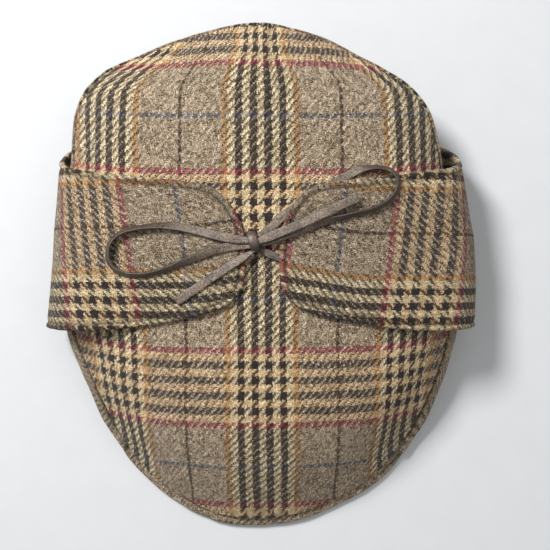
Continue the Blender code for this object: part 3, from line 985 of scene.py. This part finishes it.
def strap_section(width, thickness, count=20):
    """The lace's section: flat faces, rounded edges. Each point is across, up."""
    turns = np.arange(count) * 2 * math.pi / count
    cos, sin = np.cos(turns), np.sin(turns)
    across = width / 2 * np.sign(cos) * np.abs(cos) ** SECTION_POWERS[0]
    up = thickness / 2 * np.sign(sin) * np.abs(sin) ** SECTION_POWERS[1]
    return np.stack([across, up], 1)


def swept(name, rings, section, darkness, finish, closed=False):
    """A mesh through the rings of points; it notes across, up and each ring's darkness in strap."""
    count = len(section)
    mesh = bmesh.new()
    made = [[mesh.verts.new(spot) for spot in ring] for ring in rings]
    pairs = list(zip(made, made[1:] + made[:1])) if closed else list(zip(made, made[1:]))
    for first, second in pairs:
        for i in range(count):
            j = (i + 1) % count
            mesh.faces.new((first[i], first[j], second[j], second[i]))
    if not closed:
        mesh.faces.new(made[0][::-1])
        mesh.faces.new(made[-1])
    bmesh.ops.recalc_face_normals(mesh, faces=mesh.faces)
    data = bpy.data.meshes.new(name)
    mesh.to_mesh(data)
    mesh.free()
    flat = section / np.abs(section).max(0)
    values = np.array([(*point, dark) for dark in darkness for point in flat], np.float32)
    attribute = data.attributes.new("strap", "FLOAT_VECTOR", "POINT")
    attribute.data.foreach_set("vector", values.ravel())
    data.shade_smooth()
    return new_piece(name, data, finish)


def stand_for(piece, node):
    """The lace's piece takes the place of its solid."""
    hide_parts(node)
    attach(piece, "root")


def lengthened(route, start, end):
    """The route with its ends carried straight on by these lengths."""
    route = [np.array(point, float) for point in route]
    for at, beside, extra in ((0, 1, start), (-1, -2, end)):
        way = route[at][:3] - route[beside][:3]
        route[at] = route[at].copy()
        route[at][:3] += way / np.linalg.norm(way) * extra
    return route


def lace_piece(node, route, finish, gather_start=0.0, gather_end=0.0, least_dark=0.0, dark_end=0.0):
    """One run of the flat lace: its piece, its centre line and its length.

    It is gathered in by these shares at its ends. Over its last length of dark_end it lies in the
    shade of the strand above it, and nowhere is it lighter than least_dark allows.
    """
    spots = smooth_route(route, LACE_STEP)
    turns = np.radians(spots[:, 3] * TURN_SHARE)
    spots = spots[:, :3]
    ways = np.gradient(spots, axis=0)
    ways /= np.linalg.norm(ways, axis=1)[:, None]
    right = np.cross(ways, (0, 0, 1))
    right /= np.linalg.norm(right, axis=1)[:, None]
    up = np.cross(right, ways)
    cos, sin = np.cos(turns)[:, None], np.sin(turns)[:, None]
    upward = up * cos + right * sin
    sideways = right * cos - up * sin
    run = np.concatenate([[0], np.cumsum(np.linalg.norm(np.diff(spots, axis=0), axis=1))])
    length = float(run[-1])
    width = 1 - gather_start * np.exp(-((run / GATHER_LENGTH) ** 2))
    width -= gather_end * np.exp(-(((length - run) / GATHER_LENGTH) ** 2))
    section = strap_section(LACE_WIDTH, LACE_THICKNESS)
    rings = [spot + np.outer(section[:, 0] * w, side) + np.outer(section[:, 1], high)
             for spot, side, high, w in zip(spots, sideways, upward, width)]
    # Painted shade: the strand is painted darker where it stands on edge, over its last dark_end
    # under the strand above, and never lighter than least_dark.
    shaded = ease(1.5 * (run - length + dark_end) / dark_end) if dark_end else 0
    darkness = np.maximum(np.sin(turns) ** 2, np.maximum(shaded, least_dark))
    piece = swept(node + "_strap", rings, section, darkness, finish)
    stand_for(piece, node)
    return piece, spots, length


def knot_piece(finish):
    """The knot: one turn of the lace round the strands, leaning as they pull it."""
    half_long = KNOT_SIZE[1] / 2 - LACE_THICKNESS / 2
    half_high = KNOT_SIZE[2] / 2 - LACE_THICKNESS / 2
    lean = math.radians(KNOT_LEAN)
    long_way = np.array((math.sin(lean), math.cos(lean), 0))
    wide_way = np.array((math.cos(lean), -math.sin(lean), 0))
    section = strap_section(KNOT_SIZE[0], LACE_THICKNESS)
    rings, darkness = [], []
    for turn in np.linspace(0, 2 * math.pi, KNOT_RINGS, endpoint=False):
        cos, sin = math.cos(turn), math.sin(turn)
        spot = KNOT_PLACE + long_way * half_long * cos + np.array((0, 0, half_high * sin))
        out = long_way * cos / half_long + np.array((0, 0, sin / half_high))
        out /= np.linalg.norm(out)
        crown = KNOT_CROWN * (1 - (section[:, 0] / (KNOT_SIZE[0] / 2)) ** 2)
        width = 1 - KNOT_PINCH * cos ** 2
        across = np.outer(section[:, 0] * width, wide_way)
        rings.append(spot + across + np.outer(section[:, 1] + crown, out))
        # Painted shade: the knot's front half is painted darker, as it turns away from the light.
        darkness.append(float(ease((KNOT_SHADE_FROM - cos) / KNOT_SHADE_REACH)))
    piece = swept("lace_knot_wrap", rings, section, darkness, finish, closed=True)
    stand_for(piece, "lace_knot")
    return piece


def make_camera():
    data = bpy.data.cameras.new("camera")
    data.lens = LENS
    data.sensor_width = SENSOR
    camera = bpy.data.objects.new("camera", data)
    camera.location = CAMERA
    bpy.context.scene.collection.objects.link(camera)
    bpy.context.scene.camera = camera


def make_light(name, place, size, power):
    data = bpy.data.lights.new(name, "AREA")
    data.shape = "DISK"
    data.size = size
    data.energy = power
    light = bpy.data.objects.new(name, data)
    light.location = place
    aim = Vector((0, 0, 0)) - Vector(place)
    light.rotation_euler = aim.to_track_quat("-Z", "Y").to_euler()
    bpy.context.scene.collection.objects.link(light)


def make_stage():
    mesh = bmesh.new()
    bmesh.ops.create_grid(mesh, x_segments=1, y_segments=1, size=3.0)
    data = bpy.data.meshes.new("floor")
    mesh.to_mesh(data)
    mesh.free()
    floor = new_piece("floor", data, plain("floor_paint", FLOOR, 0.6))
    floor.location.z = -FLOOR_GAP
    make_light("key", **KEY_LIGHT)
    make_light("fill", **FILL_LIGHT)
    world = bpy.data.worlds.new("studio")
    world.use_nodes = True
    background = world.node_tree.nodes["Background"]
    background.inputs["Color"].default_value = (1, 1, 1, 1)
    background.inputs["Strength"].default_value = WORLD_LIGHT
    bpy.context.scene.world = world
    bpy.context.scene.view_settings.view_transform = "Standard"


make_camera()

strap = leather("lace_leather_grain", LEATHER_LIGHT, LEATHER_DEEP,
                roughness=0.38, relief=0.00012, contrast=1.0)
knot_finish = leather("knot_leather_grain", KNOT_LIGHT, KNOT_DEEP,
                      roughness=0.40, relief=0.00004, contrast=0.7)
knot = knot_piece(knot_finish)
left_root = lace_piece("lace_root_left", lengthened(LEFT_ROOT, INTO_FLAP, 0), strap)[0]
right_root = lace_piece("lace_root_right", lengthened(RIGHT_ROOT, INTO_FLAP, 0), strap,
                        GATHER, GATHER, ROOT_DARK)[0]
short_pieces = [knot, left_root, right_root]
both_in = (INTO_KNOT, INTO_KNOT)
one_in = (INTO_KNOT, 0)
for node, route, ends, far_end, looks, extra in (
    ("lace_loop_left", LEFT_LOOP, both_in, "object", (GATHER, GATHER), short_pieces),
    ("lace_loop_right", RIGHT_LOOP, both_in, "object", (GATHER, GATHER, 0, LOOP_SHADED), []),
    ("lace_tail_left", LEFT_TAIL, one_in, "bare", (TAIL_GATHER, 0), []),
    ("lace_tail_right", RIGHT_TAIL, one_in, "bare", (GATHER, 0), []),
):
    piece, path, length = lace_piece(node, lengthened(route, *ends), strap, *looks)

cloth = tweed("tweed")
flap_cloth = tweed("flap_tweed", FLAP_SHADE)
thread = plain("sewing_thread", THREAD, 0.7)
cloth_piece("top_panel", 3, crown_threads, cloth, shape=darted, creased=dart_share)
cloth_piece("peak", 2, peak_threads, cloth)
for side in ("left", "right"):
    cloth_piece("side_panel_" + side, 2, side_threads, cloth, shape=tapered)
    node = "ear_flap_" + side
    flap, away, outward = cloth_piece(node, 3, flap_threads(node, **FLAPS[side]), flap_cloth,
                                      GROOVE_DEPTH, shape=filled if side == "right" else None)
    rows = level_lines(flap.data, away, GROOVE_IN, outward)
    stitch_piece(node + "_stitches", rows, thread)

make_stage()
